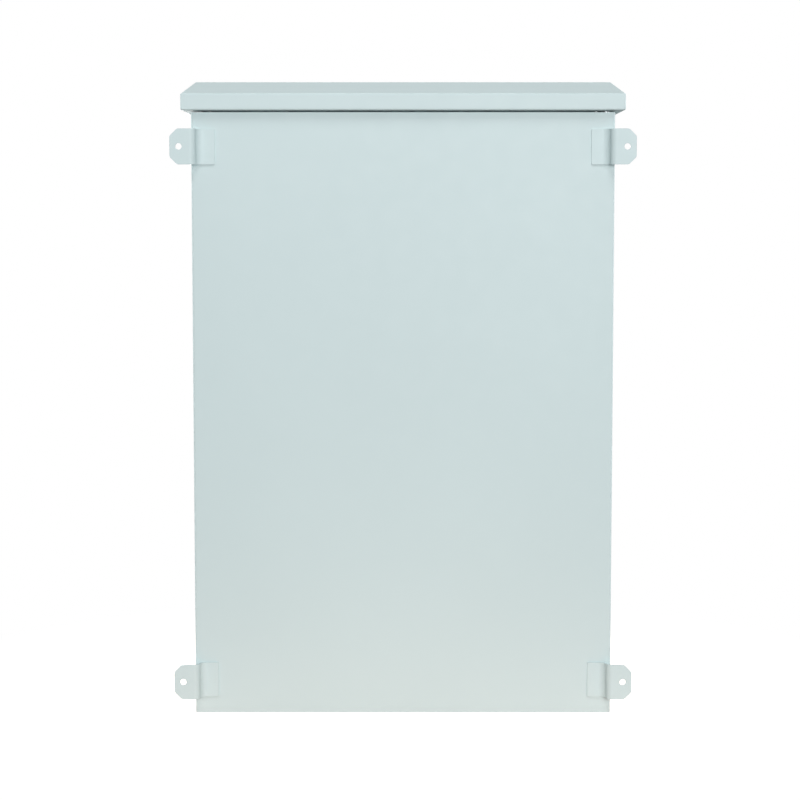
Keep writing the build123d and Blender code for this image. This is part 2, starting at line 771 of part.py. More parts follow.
# Bonding point of the case: stud on the left side wall
with BuildPart() as case_earth_stud:
    with BuildSketch(Plane.YZ.offset(-inner_half_width)):
        with Locations((pan_y, earth_height)):
            Circle(earth_foot_radius)
    extrude(amount=earth_foot)
    with BuildSketch(Plane.YZ.offset(-inner_half_width + earth_foot)):
        with Locations((pan_y, earth_height)):
            Circle(thread_radius)
    extrude(amount=earth_stud_length - earth_foot)
case_earth_stud.part.label = "case_earth_stud"
export_step(case_earth_stud.part, "parts/case_earth_stud.step")

with BuildPart() as case_earth_nut:
    with BuildSketch(Plane.YZ.offset(-inner_half_width + earth_foot + earth_nut_gap)):
        with Locations((pan_y, earth_height)):
            RegularPolygon(hex_flats / 2, 6, major_radius=False)
            Circle(thread_radius + thread_clearance, mode=Mode.SUBTRACT)
    extrude(amount=nut_height)
case_earth_nut.part.label = "case_earth_nut"
export_step(case_earth_nut.part, "parts/case_earth_nut.step")

# Bonding point of the door: stud on the inner face near the hinges
door_earth_x = opening_width / 2 - door_earth_inset
with BuildPart() as door_earth_stud:
    with BuildSketch(Plane.XZ.offset(-door_inner_y)):
        with Locations((door_earth_x, earth_height)):
            Circle(earth_foot_radius)
    extrude(amount=-earth_foot)
    with BuildSketch(Plane.XZ.offset(-door_inner_y - earth_foot)):
        with Locations((door_earth_x, earth_height)):
            Circle(thread_radius)
    extrude(amount=-(door_earth_stud_length - earth_foot))
door_earth_stud.part.label = "door_earth_stud"
export_step(door_earth_stud.part, "parts/door_earth_stud.step")

with BuildPart() as door_earth_nut:
    with BuildSketch(Plane.XZ.offset(-door_inner_y - earth_foot)):
        with Locations((door_earth_x, earth_height)):
            RegularPolygon(hex_flats / 2, 6, major_radius=False)
            Circle(thread_radius + thread_clearance, mode=Mode.SUBTRACT)
    extrude(amount=-nut_height)
door_earth_nut.part.label = "door_earth_nut"
export_step(door_earth_nut.part, "parts/door_earth_nut.step")
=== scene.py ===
"""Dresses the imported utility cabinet: finishes, fasteners, seals, welds, studio and camera.

Everything is in metres and in the CAD frame: rear towards +Y, door towards -Y, underside at z = 0.
"""

import logging
import math
from abc import ABC, abstractmethod
from collections.abc import Callable
from dataclasses import dataclass
from enum import Enum
from functools import cache
from typing import Any

import bmesh
import bpy
from mathutils import Euler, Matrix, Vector


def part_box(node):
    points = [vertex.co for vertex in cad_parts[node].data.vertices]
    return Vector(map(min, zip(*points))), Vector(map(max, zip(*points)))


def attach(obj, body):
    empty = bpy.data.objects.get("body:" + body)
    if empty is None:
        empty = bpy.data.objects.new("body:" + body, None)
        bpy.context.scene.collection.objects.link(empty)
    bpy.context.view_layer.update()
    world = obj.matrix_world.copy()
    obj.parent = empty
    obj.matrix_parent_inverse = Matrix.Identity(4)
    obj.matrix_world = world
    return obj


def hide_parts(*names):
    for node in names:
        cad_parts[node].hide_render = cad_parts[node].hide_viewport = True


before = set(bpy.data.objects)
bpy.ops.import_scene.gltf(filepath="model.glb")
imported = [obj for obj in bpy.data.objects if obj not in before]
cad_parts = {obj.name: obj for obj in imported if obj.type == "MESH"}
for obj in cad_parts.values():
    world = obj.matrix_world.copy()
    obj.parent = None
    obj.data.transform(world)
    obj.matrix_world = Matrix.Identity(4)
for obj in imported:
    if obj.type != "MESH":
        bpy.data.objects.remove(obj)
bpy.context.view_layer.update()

log = logging.getLogger("cabinet")

Box = tuple[Vector, Vector]
Span = tuple[float, float]
Place = tuple[float, float, float]
Colour = tuple[float, float, float, float]
Inputs = dict[str | int, Any]
Piece = bpy.types.Object
Tree = bpy.types.NodeTree
Node = bpy.types.Node
Socket = bpy.types.NodeSocket

PLACE_DIGITS = 4
LENGTH_DIGITS = 3
MERGE_DISTANCE = 1e-6
LEVEL_TOLERANCE = 1e-5
OVERRUN = 2e-4

SMOOTH_ANGLE = math.radians(32)
SMOOTH_ALL = math.pi
ROUND_SIDES = 40
HEX_SIDES = 6
CHAMFER_STEPS = 1
EASED_STEPS = 2

# Shares of a unit vector: past the first it runs along an axis, past the second it faces that way.
ALONG = 0.5
FACING = 0.9

# Parts of a noise's range that a finish uses, and how fine the noise is.
TONE_SPAN = (0.3, 0.7)
GLOSS_SPAN = (0.25, 0.75)
GLOSS_DETAIL = 4.0
RIPPLE_DETAIL = 1.0


class Heading(Enum):
    """Way that a piece points, as the turn from its upright model."""

    UP = (0.0, 0.0, 0.0)
    FRONT = (math.pi / 2, 0.0, 0.0)
    REAR = (-math.pi / 2, 0.0, 0.0)
    RIGHT = (math.pi / 2, 0.0, math.pi / 2)

    def vector(self) -> Vector:
        """Returns the direction that the piece points in."""
        return Euler(self.value).to_matrix() @ Vector((0, 0, 1))

    def foot_of(self, box: Box) -> Vector:
        """Finds where a piece that fills a box starts.

        Args:
            box: Lowest and highest corner of the piece.

        Returns:
            Centre of the box's face that the piece points away from.
        """
        half = (box[1] - box[0]) / 2
        reach = self.vector() * abs(half.dot(self.vector()))
        return box[0] + half - reach

    def length_of(self, box: Box) -> float:
        """Returns the size of a box along this direction."""
        return abs((box[1] - box[0]).dot(self.vector()))

    def across(self, box: Box) -> list[float]:
        """Returns the two sizes of a box across this direction."""
        shares = zip(box[1] - box[0], self.vector())
        return [size for size, along in shares if abs(along) < ALONG]

    def flats_of(self, box: Box) -> float:
        """Returns the smaller size of a box across this direction."""
        return min(self.across(box))


class Element(Enum):
    """Parts of a mesh that a tool can act on."""

    VERTEX = "VERT"
    EDGE = "EDGE"
    FACE = "FACE"


class Joining(Enum):
    """Ways that a cutter changes a piece."""

    KEEP_COMMON = "INTERSECT"
    CUT_AWAY = "DIFFERENCE"


def clear_selection() -> None:
    """Leaves edit mode and deselects every object."""
    if bpy.context.mode != "OBJECT":
        bpy.ops.object.mode_set(mode="OBJECT")
    bpy.ops.object.select_all(action="DESELECT")


def take_up(piece: Piece) -> None:
    """Makes one piece the only selected and the active one."""
    clear_selection()
    piece.select_set(True)
    bpy.context.view_layer.objects.active = piece


def discard(piece: Piece) -> None:
    """Removes a piece that has been used up."""
    bpy.data.objects.remove(piece, do_unlink=True)


def solids_of(node: str) -> list[Box]:
    """Finds the separate solids that share one CAD node.

    Args:
        node: Name of the CAD node.

    Returns:
        The box of each solid, in order of their lowest corners.
    """
    mesh = bmesh.new()
    mesh.from_mesh(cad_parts[node].data)
    bmesh.ops.remove_doubles(mesh, verts=mesh.verts, dist=MERGE_DISTANCE)
    waiting = set(mesh.verts)
    boxes = []
    while waiting:
        reached = [waiting.pop()]
        points = []
        while reached:
            vertex = reached.pop()
            points.append(vertex.co.copy())
            nearby = {edge.other_vert(vertex) for edge in vertex.link_edges} & waiting
            waiting -= nearby
            reached.extend(nearby)
        low = Vector(min(point[axis] for point in points) for axis in range(3))
        high = Vector(max(point[axis] for point in points) for axis in range(3))
        boxes.append((low, high))
    mesh.free()
    return sorted(boxes, key=lambda box: [round(place, PLACE_DIGITS) for place in box[0]])


class Blend(Enum):
    """Kinds of mixture: data type, numbers of the two inputs and number of the output."""

    VECTOR = ("VECTOR", 4, 5, 1)
    COLOUR = ("RGBA", 6, 7, 2)


class NodeSheet:
    """A node tree with short calls that add nodes and feed their sockets."""

    def __init__(self, tree: Tree) -> None:
        """Empties the node tree of a material, a world or a group and takes it up."""
        self.tree = tree
        tree.nodes.clear()

    def feed(self, node: Node, inputs: Inputs) -> None:
        """Links other nodes' outputs to a node's sockets, or sets the sockets' own values.

        Args:
            node: Node to feed.
            inputs: Output sockets or plain values, by the input's name or number.
        """
        for name, value in inputs.items():
            if isinstance(value, Socket):
                self.tree.links.new(value, node.inputs[name])
            else:
                node.inputs[name].default_value = value

    def add(self, kind: str, inputs: Inputs | None = None, **settings: Any) -> Node:
        """Adds a node.

        Args:
            kind: Blender's name for the kind of node.
            inputs: Output sockets or plain values, by the input's name or number.
            **settings: Values for the node's own properties.

        Returns:
            The new node.
        """
        node = self.tree.nodes.new(kind)
        for name, value in settings.items():
            setattr(node, name, value)
        self.feed(node, inputs or {})
        return node

    def mix(self, blend: Blend, share: Any, first: Any, second: Any) -> Socket:
        """Mixes two vectors or colours.

        Args:
            blend: Kind of mixture.
            share: Share of the second, as an output socket or a number.
            first: Output socket or plain value.
            second: Output socket or plain value.

        Returns:
            The mixture.
        """
        kind, one, other, mixture = blend.value
        inputs = {"Factor": share, one: first, other: second}
        return self.add("ShaderNodeMix", inputs, data_type=kind).outputs[mixture]

    def spread(self, value: Socket, low: Any, high: Any, span: Span = (0.0, 1.0)) -> Socket:
        """Spreads a span of a value between two limits.

        Args:
            value: Value to spread.
            low: What the lower end of the span becomes.
            high: What the upper end of the span becomes.
            span: Part of the value's range that is used.

        Returns:
            The spread value.
        """
        start, end = span
        inputs = {"Value": value, "From Min": start, "From Max": end, "To Min": low, "To Max": high}
        return self.add("ShaderNodeMapRange", inputs).outputs["Result"]


class Effect(NodeSheet):
    """Node group of an effect that several finishes share, at a place and a scale."""

    def __init__(self, name: str, inputs: dict[str, str], output: str, kind: str) -> None:
        """Starts the group.

        Args:
            name: Name of the group.
            inputs: Kind of each further input socket, by name.
            output: Name of the output socket.
            kind: Kind of the output socket.
        """
        super().__init__(bpy.data.node_groups.new(name, "ShaderNodeTree"))
        entries = {"Vector": "Vector", "Scale": "Float", **inputs}
        sockets = [(entry, sort, "INPUT") for entry, sort in entries.items()]
        for socket, sort, way in [*sockets, (output, kind, "OUTPUT")]:
            self.tree.interface.new_socket(socket, in_out=way, socket_type=f"NodeSocket{sort}")
        self.entry: Any = self.add("NodeGroupInput").outputs
        self.leave: Node = self.add("NodeGroupOutput")
        self.pattern: Inputs = {socket: self.entry[socket] for socket in ("Vector", "Scale")}

    def noise(self, **inputs: float) -> Socket:
        """Adds a noise at the effect's place and scale and returns its value."""
        return self.add("ShaderNodeTexNoise", {**self.pattern, **inputs}).outputs[0]


@cache
def tone_drift() -> Tree:
    """Makes a colour that drifts a little lighter and darker over the surface.

    Returns:
        Node group with the drifting colour.
    """
    inputs = {"Color": "Color", "Dark": "Float", "Light": "Float"}
    effect = Effect("tone_drift", inputs, "Color", "Color")
    share = effect.spread(effect.noise(), effect.entry["Dark"], effect.entry["Light"], TONE_SPAN)
    tinted = effect.add(
        "ShaderNodeVectorMath", {0: effect.entry["Color"], "Scale": share}, operation="SCALE"
    )
    effect.feed(effect.leave, {"Color": tinted.outputs["Vector"]})
    return effect.tree


@cache
def sheen_drift() -> Tree:
    """Makes a roughness that wanders between two values.

    Returns:
        Node group with the roughness.
    """
    effect = Effect("sheen_drift", {"Smooth": "Float", "Rough": "Float"}, "Roughness", "Float")
    cloud = effect.noise(Detail=GLOSS_DETAIL)
    gloss = effect.spread(cloud, effect.entry["Smooth"], effect.entry["Rough"], GLOSS_SPAN)
    effect.feed(effect.leave, {"Roughness": gloss})
    return effect.tree


@cache
def pebbling() -> Tree:
    """Makes the soft pebbled relief of a flowed coat or a moulded skin.

    Returns:
        Node group with the height.
    """
    effect = Effect("pebbling", {}, "Height", "Float")
    pebbles = effect.add("ShaderNodeTexVoronoi", effect.pattern, feature="SMOOTH_F1")
    relief = effect.add(
        "ShaderNodeMath",
        {0: effect.noise(Detail=RIPPLE_DETAIL), 1: pebbles.outputs["Distance"]},
        operation="SUBTRACT",
    )
    effect.feed(effect.leave, {"Height": relief.outputs["Value"]})
    return effect.tree


class Surface(NodeSheet):
    """Node sheet of a finish, with its Principled shader and its Object coordinates."""

    def __init__(self, material: bpy.types.Material) -> None:
        """Starts the sheet.

        Args:
            material: New material of the finish.
        """
        material.use_nodes = True
        super().__init__(material.node_tree)
        self.place: Socket = self.add("ShaderNodeTexCoord").outputs["Object"]
        self.shader: Node = self.add("ShaderNodeBsdfPrincipled")
        self.add("ShaderNodeOutputMaterial", {"Surface": self.shader.outputs["BSDF"]})

    def effect(self, group: Tree, **inputs: Any) -> Socket:
        """Places a shared effect on the surface and returns what it puts out."""
        inputs["Vector"] = self.place
        return self.add("ShaderNodeGroup", inputs, node_tree=group).outputs[0]

    def lay(self, tone: Socket, gloss: Socket, relief: Socket, depth: float, metal: float) -> Node:
        """Feeds the shader.

        Args:
            tone: Colour.
            gloss: Roughness.
            relief: Height of the relief.
            depth: Depth of the relief in metres.
            metal: 1 for bare metal, 0 for a coat or rubber.

        Returns:
            The node that turns the relief to a normal.
        """
        bump = self.add("ShaderNodeBump", {"Height": relief, "Distance": depth})
        inputs = {"Base Color": tone, "Roughness": gloss, "Normal": bump.outputs["Normal"]}
        self.feed(self.shader, {"Metallic": metal, **inputs})
        return bump


@dataclass(frozen=True)
class Finish(ABC):
    """Surface of one of the record's material slots."""

    name: str
    slot: str

    def material(self) -> bpy.types.Material:
        """Finds the finish's material, or makes it on first use.

        Returns:
            The material.
        """
        known = bpy.data.materials.get(self.name)
        if known:
            return known
        made = bpy.data.materials.new(self.name)
        self.wire(Surface(made))
        return made

    @abstractmethod
    def wire(self, surface: Surface) -> None:
        """Feeds the surface's shader."""

    def coat(self, piece: Piece) -> None:
        """Gives a new piece or a CAD node this finish alone."""
        piece.data.materials.clear()
        piece.data.materials.append(self.material())

    def coat_nodes(self, *names: str) -> None:
        """Gives CAD nodes this finish.

        Args:
            *names: Names of the CAD nodes.
        """
        for name in names:
            self.coat(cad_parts[name])
            log.info("%s wears %s", name, self.name)


@dataclass(frozen=True)
class Skin(Finish):
    """Skin of one colour, with a drift in tone and gloss and a fine relief."""

    colour: Colour
    tone_scale: float
    dark: float
    light: float
    gloss_scale: float
    smooth: float
    rough: float
    relief_scale: float
    relief_depth: float
    metallic: float = 0.0
    edge_round: float = 0.0
    round_samples: int = 6

    def wire(self, surface: Surface) -> None:
        """Feeds the surface's shader.

        Args:
            surface: Node sheet of the finish.
        """
        tone = surface.effect(
            tone_drift(), Scale=self.tone_scale, Color=self.colour, Dark=self.dark, Light=self.light
        )
        gloss = surface.effect(
            sheen_drift(), Scale=self.gloss_scale, Smooth=self.smooth, Rough=self.rough
        )
        relief = surface.effect(pebbling(), Scale=self.relief_scale)
        bump = surface.lay(tone, gloss, relief, self.relief_depth, self.metallic)
        if self.edge_round:
            flow = surface.add(
                "ShaderNodeBevel", {"Radius": self.edge_round}, samples=self.round_samples
            )
            surface.feed(bump, {"Normal": flow.outputs["Normal"]})


@dataclass(frozen=True)
class PowderCoat(Skin):
    """Satin powder coat with a fine orange peel, flowed round over sheet edges."""

    tone_scale: float = 2.2
    dark: float = 0.988
    light: float = 1.012
    gloss_scale: float = 35.0
    smooth: float = 0.50
    rough: float = 0.58
    relief_scale: float = 620.0
    relief_depth: float = 1.2e-5
    edge_round: float = 9.0e-4


@dataclass(frozen=True)
class PlatedMetal(Skin):
    """Plated or plain metal with a slightly uneven gloss."""

    tone_scale: float = 90.0
    dark: float = 0.93
    light: float = 1.07
    gloss_scale: float = 260.0
    smooth: float = 0.24
    rough: float = 0.38
    relief_scale: float = 900.0
    relief_depth: float = 4.0e-6
    metallic: float = 1.0


@dataclass(frozen=True)
class SealRubber(Skin):
    """Matt black rubber with a pebbled skin."""

    tone_scale: float = 25.0
    dark: float = 0.8
    light: float = 1.25
    gloss_scale: float = 140.0
    smooth: float = 0.62
    rough: float = 0.85
    relief_scale: float = 700.0
    relief_depth: float = 8.0e-5


@dataclass(frozen=True)
class GalvanisedSheet(Finish):
    """Hot-dip galvanised sheet with its crystal spangle."""

    dark: Colour
    light: Colour
    spangle_scale: float = 110.0
    ragged_scale: float = 60.0
    ragged_detail: float = 3.0
    ragged_share: float = 0.012
    smooth: float = 0.30
    rough: float = 0.52
    relief_depth: float = 1.0e-5
    relief_strength: float = 0.4

    def wire(self, surface: Surface) -> None:
        """Feeds the surface's shader.

        Args:
            surface: Node sheet of the finish.
        """
        wander = surface.add(
            "ShaderNodeTexNoise",
            {"Vector": surface.place, "Scale": self.ragged_scale, "Detail": self.ragged_detail},
        )
        ragged = surface.mix(
            Blend.VECTOR, self.ragged_share, surface.place, wander.outputs["Color"]
        )
        crystal = surface.add(
            "ShaderNodeTexVoronoi", {"Vector": ragged, "Scale": self.spangle_scale}
        )
        facet = surface.add("ShaderNodeSeparateColor", {"Color": crystal.outputs["Color"]}).outputs
        tone = surface.mix(Blend.COLOUR, facet["Red"], self.dark, self.light)
        gloss = surface.spread(facet["Green"], self.smooth, self.rough)
        bump = surface.lay(tone, gloss, facet["Blue"], self.relief_depth, metal=1.0)
        surface.feed(bump, {"Strength": self.relief_strength})


@dataclass(frozen=True)
class TurnedMetal(Finish):
    """Plated metal with the tool rings of a turned face, centred on one lock."""

    colour: Colour
    centre: Place
    ring_scale: float = 520.0
    ring_wander: float = 0.6
    ring_detail: float = 1.0
    ring_depth: float = 1.0e-5
    smooth: float = 0.20
    rough: float = 0.32
    tone_scale: float = 120.0
    dark: float = 0.93
    light: float = 1.05

    def wire(self, surface: Surface) -> None:
        """Feeds the surface's shader.

        Args:
            surface: Node sheet of the finish.
        """
        tone = surface.effect(
            tone_drift(), Scale=self.tone_scale, Color=self.colour, Dark=self.dark, Light=self.light
        )
        centred = surface.add(
            "ShaderNodeMapping",
            {"Vector": surface.place, "Location": tuple(-share for share in self.centre)},
        )
        rings = surface.add(
            "ShaderNodeTexWave",
            {
                "Vector": centred.outputs["Vector"],
                "Scale": self.ring_scale,
                "Distortion": self.ring_wander,
                "Detail": self.ring_detail,
            },
            wave_type="RINGS",
            rings_direction="Y",
        ).outputs[1]
        gloss = surface.spread(rings, self.smooth, self.rough)
        surface.lay(tone, gloss, rings, self.ring_depth, metal=1.0)


PAINT = PowderCoat("cabinet_powder_coat", "paint", (0.578, 0.701, 0.718, 1.0))
ZINC = PlatedMetal("zinc_plating", "zinc", (0.66, 0.68, 0.70, 1.0))
GALVANISED = GalvanisedSheet(
    "galvanised_sheet",
    "zinc",
    dark=(0.56, 0.58, 0.60, 1.0),
    light=(0.68, 0.70, 0.72, 1.0),
)
NICKEL = PlatedMetal("satin_nickel", "lock_metal", (0.70, 0.68, 0.64, 1.0), smooth=0.18, rough=0.27)
RUBBER = SealRubber("seal_rubber", "rubber", (0.022, 0.022, 0.023, 1.0))
BRASS = PlatedMetal("plain_brass", "brass", (0.74, 0.55, 0.26, 1.0), smooth=0.22, rough=0.36)


class Shaper:
    """One new piece on the bench, shaped with Blender's edit-mode tools."""

    def __init__(self, name: str) -> None:
        """Takes up the primitive that was just added and opens it for editing.

        Args:
            name: Name of the piece.
        """
        self.piece: Piece = bpy.context.object
        self.piece.name = name
        self.piece.data.name = name
        bpy.ops.object.transform_apply(location=True, rotation=True, scale=True)
        bpy.ops.object.mode_set(mode="EDIT")

    @classmethod
    def bar(
        cls, name: str, sides: int, radius: float, length: float, foot: float = 0.0
    ) -> "Shaper":
        """Starts from an upright bar.

        Args:
            name: Name of the piece.
            sides: Number of sides; six give a hexagon with a corner towards +X.
            radius: Radius over the corners.
            length: Length of the bar.
            foot: Height of its lower end.

        Returns:
            The bar, open for editing.
        """
        clear_selection()
        bpy.ops.mesh.primitive_cylinder_add(
            vertices=sides,
            radius=radius,
            depth=length,
            location=(0, 0, foot + length / 2),
            rotation=(0, 0, math.pi / 2),
        )
        return cls(name)

    @classmethod
    def sheet(
        cls, name: str, centre: Vector, width: float, height: float, heading: Heading
    ) -> "Shaper":
        """Starts from a flat rectangle.

        Args:
            name: Name of the piece.
            centre: Centre of the rectangle.
            width: Size along X.
            height: Size across that.
            heading: Way that its face points.

        Returns:
            The rectangle, open for editing.
        """
        clear_selection()
        bpy.ops.mesh.primitive_plane_add(size=1.0, location=centre, rotation=heading.value)
        bpy.context.object.scale = (width, height, 1.0)
        return cls(name)

    def pick(self, element: Element, test: Callable[[Any], bool]) -> None:
        """Selects parts of the mesh by their place or normal.

        Args:
            element: Kind of part.
            test: Says whether a part is wanted.
        """
        bpy.ops.mesh.select_mode(type=element.value)
        bpy.ops.mesh.select_all(action="DESELECT")
        mesh = bmesh.from_edit_mesh(self.piece.data)
        mesh.normal_update()
        for part in getattr(mesh, f"{element.value.lower()}s"):
            if test(part):
                part.select_set(True)
        mesh.select_flush_mode()
        bmesh.update_edit_mesh(self.piece.data)

    def pick_all(self) -> None:
        """Selects the whole mesh."""
        bpy.ops.mesh.select_all(action="SELECT")

    def pick_edges_above(self, height: float) -> None:
        """Selects the edges that lie wholly above a height."""
        self.pick(Element.EDGE, lambda edge: min(end.co.z for end in edge.verts) > height)

    def extrude(self, step: Place | Vector) -> None:
        """Extrudes what is selected along a step."""
        bpy.ops.mesh.extrude_region_move(TRANSFORM_OT_translate={"value": tuple(step)})

    def widen(self, factor: float) -> None:
        """Scales what is selected out from the Z axis."""
        bpy.ops.transform.resize(value=(factor, factor, 1.0), center_override=(0.0, 0.0, 0.0))

    def bevel(self, width: float, steps: int, affect: Element = Element.EDGE) -> None:
        """Rounds the selected edges, or the corners of a flat outline, in some steps."""
        kind = "VERTICES" if affect is Element.VERTEX else "EDGES"
        bpy.ops.mesh.bevel(offset=width, segments=steps, affect=kind)

    def trim(self, height: float, above: bool) -> None:
        """Cuts the mesh level and closes the cut.

        Args:
            height: Height of the cut.
            above: True takes away what is above it, False what is below.
        """
        self.pick_all()
        bpy.ops.mesh.bisect(
            plane_co=(0, 0, height),
            plane_no=(0, 0, 1),
            use_fill=True,
            threshold=MERGE_DISTANCE,
            clear_outer=above,
            clear_inner=not above,
        )

    def apply(self, kind: str, **settings: Any) -> None:
        """Adds a modifier and applies it.

        Args:
            kind: Blender's name for the modifier.
            **settings: Values for the modifier.
        """
        take_up(self.piece)
        modifier = self.piece.modifiers.new(kind.lower(), kind)
        for name, value in settings.items():
            setattr(modifier, name, value)
        bpy.ops.object.modifier_apply(modifier=modifier.name)
        bpy.ops.object.mode_set(mode="EDIT")

    def combine(self, cutter: Piece, joining: Joining) -> None:
        """Shapes the piece with a closed cutter, which is used up."""
        self.apply("BOOLEAN", object=cutter, operation=joining.value, solver="EXACT")
        discard(cutter)

    def done(self, angle: float = SMOOTH_ANGLE) -> Piece:
        """Closes the piece and shades it.

        Args:
            angle: Sharpest edge that is shaded smooth.

        Returns:
            The finished piece.
        """
        self.pick_all()
        bpy.ops.mesh.remove_doubles(threshold=MERGE_DISTANCE)
        bpy.ops.mesh.normals_make_consistent(inside=False)
        take_up(self.piece)
        bpy.ops.object.shade_smooth_by_angle(angle=angle)
        return self.piece


def weld_together(name: str, parts: list[Piece]) -> Piece:
    """Joins parts to one object.

    Args:
        name: Name of the object.
        parts: Finished meshes, of which the first takes up the others.

    Returns:
        The joined object.
    """
    take_up(parts[0])
    for part in parts[1:]:
        part.select_set(True)
    if len(parts) > 1:
        bpy.ops.object.join()
    parts[0].name = name
    parts[0].data.name = name
    return parts[0]


def copy_to(model: Piece, place: Vector, heading: Heading) -> Piece:
    """Copies an upright model, with a mesh of its own.

    Args:
        model: Model that stands on the origin.
        place: Where the copy's foot goes.
        heading: Way that the copy points.

    Returns:
        The copy, with its place in its mesh.
    """
    take_up(model)
    bpy.ops.object.duplicate(linked=False)
    copy = bpy.context.object
    copy.rotation_euler = heading.value
    copy.location = place
    bpy.ops.object.transform_apply(location=True, rotation=True, scale=True)
    return copy


def set_out(name: str, model: Piece, places: list[Vector], heading: Heading) -> Piece:
    """Copies an upright model to several places and joins the copies.

    Args:
        name: Name of the joined piece.
        model: Model that stands on the origin, which is used up.
        places: Where the copies' feet go.
        heading: Way that the copies point.

    Returns:
        The joined piece.
    """
    copies = [copy_to(model, place, heading) for place in places]
    discard(model)
    return weld_together(name, copies)


def put_in_place(piece: Piece, body: str, finish: Finish, *nodes: str) -> None:
    """Finishes a piece, lets it ride on its body and stands it in for CAD nodes.

    Args:
        piece: The finished mesh.
        body: CAD body that carries it.
        finish: Its surface.
        *nodes: CAD nodes that it stands for.
    """
    finish.coat(piece)
    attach(piece, body)
    if nodes:
        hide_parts(*nodes)
    log.info("%s rides on %s in %s", piece.name, body, finish.name)


def spindle(radius: float, length: float, end_radius: float, end_length: float) -> Piece:
    """Turns a round cutter with conical ends that run on past its length.

    Args:
        radius: Radius of the middle.
        length: Length between the ends of the cones, up from the origin.
        end_radius: Radius at the end of each cone.
        end_length: Length of each cone.

    Returns:
        The cutter.
    """
    cutter = Shaper.bar("spindle", ROUND_SIDES, radius, length - 2 * end_length, end_length)
    for way in (-1, 1):
        cutter.pick(Element.FACE, lambda face: face.normal.z * way > FACING)
        cutter.extrude((0, 0, way * end_length))
        cutter.widen(end_radius / radius)
        cutter.extrude((0, 0, way * OVERRUN))
    return cutter.done()


@dataclass(frozen=True)
class HexNut:
    """Chamfered hexagon nut with a countersunk bore."""

    flats: float
    height: float
    bore: float
    rim_share: float = 0.95
    chamfer_angle: float = math.radians(30)
    sink_share: float = 0.09

    def build(self) -> Piece:
        """Models the nut upright on the origin.

        Returns:
            The nut.
        """
        corner = self.flats / math.sqrt(3)
        rim = self.flats / 2 * self.rim_share
        blank = Shaper.bar("hex_nut", HEX_SIDES, corner, self.height)
        middle = corner + OVERRUN
        chamfer = (middle - rim) * math.tan(self.chamfer_angle)
        blank.combine(spindle(middle, self.height, rim, chamfer), Joining.KEEP_COMMON)
        if self.bore:
            sink = self.bore * self.sink_share
            blank.combine(spindle(self.bore, self.height, self.bore + sink, sink), Joining.CUT_AWAY)
        return blank.done()


@dataclass(frozen=True)
class Thread:
    """Metric thread, and the play that a nut has on it."""

    radius: float
    pitch: float
    play: float = 5.0e-5

    def bore(self) -> float:
        """Returns the radius of a nut's bore."""
        return self.radius + self.play


M8 = Thread(0.004, 0.00125)
M6 = Thread(0.003, 0.001)


@dataclass(frozen=True)
class ThreadedBar:
    """Bar with a cut thread and a chamfered tip."""

    thread: Thread
    length: float
    foot: float = 0.0
    depth_share: float = 0.6
    flank_share: float = 0.4
    flat_share: float = 0.1
    run_in: float = 1.5
    spare_turns: int = 3
    steps: int = 20

    def build(self) -> Piece:
        """Models the bar upright, with its lower end at its foot's height.

        Returns:
            The bar.
        """
        radius, pitch = self.thread.radius, self.thread.pitch
        depth = pitch * self.depth_share
        root = radius - depth
        tooth = Shaper.sheet("thread", Vector((0, 0, 0)), pitch, pitch, Heading.UP)
        tooth.pick(Element.VERTEX, lambda vertex: vertex.index > 0)
        bpy.ops.mesh.delete(type="VERT")
        tooth.pick_all()
        bpy.ops.transform.translate(value=(root + pitch / 2, pitch / 2, 0))
        flank = pitch * self.flank_share
        flat = pitch * self.flat_share
        for step in ((0, 0, flat), (depth, 0, flank), (0, 0, flat), (-depth, 0, flank)):
            bpy.ops.mesh.extrude_vertices_move(TRANSFORM_OT_translate={"value": step})
        tooth.apply(
            "SCREW",
            axis="Z",
            screw_offset=pitch,
            iterations=math.ceil(self.length / pitch) + self.spare_turns,
            steps=self.steps,
            render_steps=self.steps,
        )
        tooth.pick_all()
        bpy.ops.mesh.remove_doubles(threshold=MERGE_DISTANCE)
        start = self.run_in * pitch
        tooth.trim(start, above=False)
        tooth.trim(start + self.length + OVERRUN, above=True)
        tooth.pick_all()
        bpy.ops.mesh.normals_make_consistent(inside=False)
        bpy.ops.transform.translate(value=(0, 0, -start))
        blank = Shaper.bar("blank", ROUND_SIDES, radius + OVERRUN, self.length + depth, -depth)
        blank.pick_edges_above(self.length - OVERRUN)
        blank.bevel(depth + OVERRUN, CHAMFER_STEPS)
        tooth.combine(blank.done(), Joining.KEEP_COMMON)
        foot = Vector((0, 0, self.foot))
        return set_out("threaded_bar", tooth.done(), [foot], Heading.UP)


@dataclass(frozen=True)
class Collar:
    """Round collar or weld foot with an eased upper edge."""

    radius: float
    length: float
    ease: float = 6.0e-4

    def build(self) -> Piece:
        """Models the collar upright on the origin.

        Returns:
            The collar.
        """
        bar = Shaper.bar("collar", ROUND_SIDES, self.radius, self.length)
        bar.pick_edges_above(self.length - OVERRUN)
        bar.bevel(self.ease, EASED_STEPS)
        return bar.done()


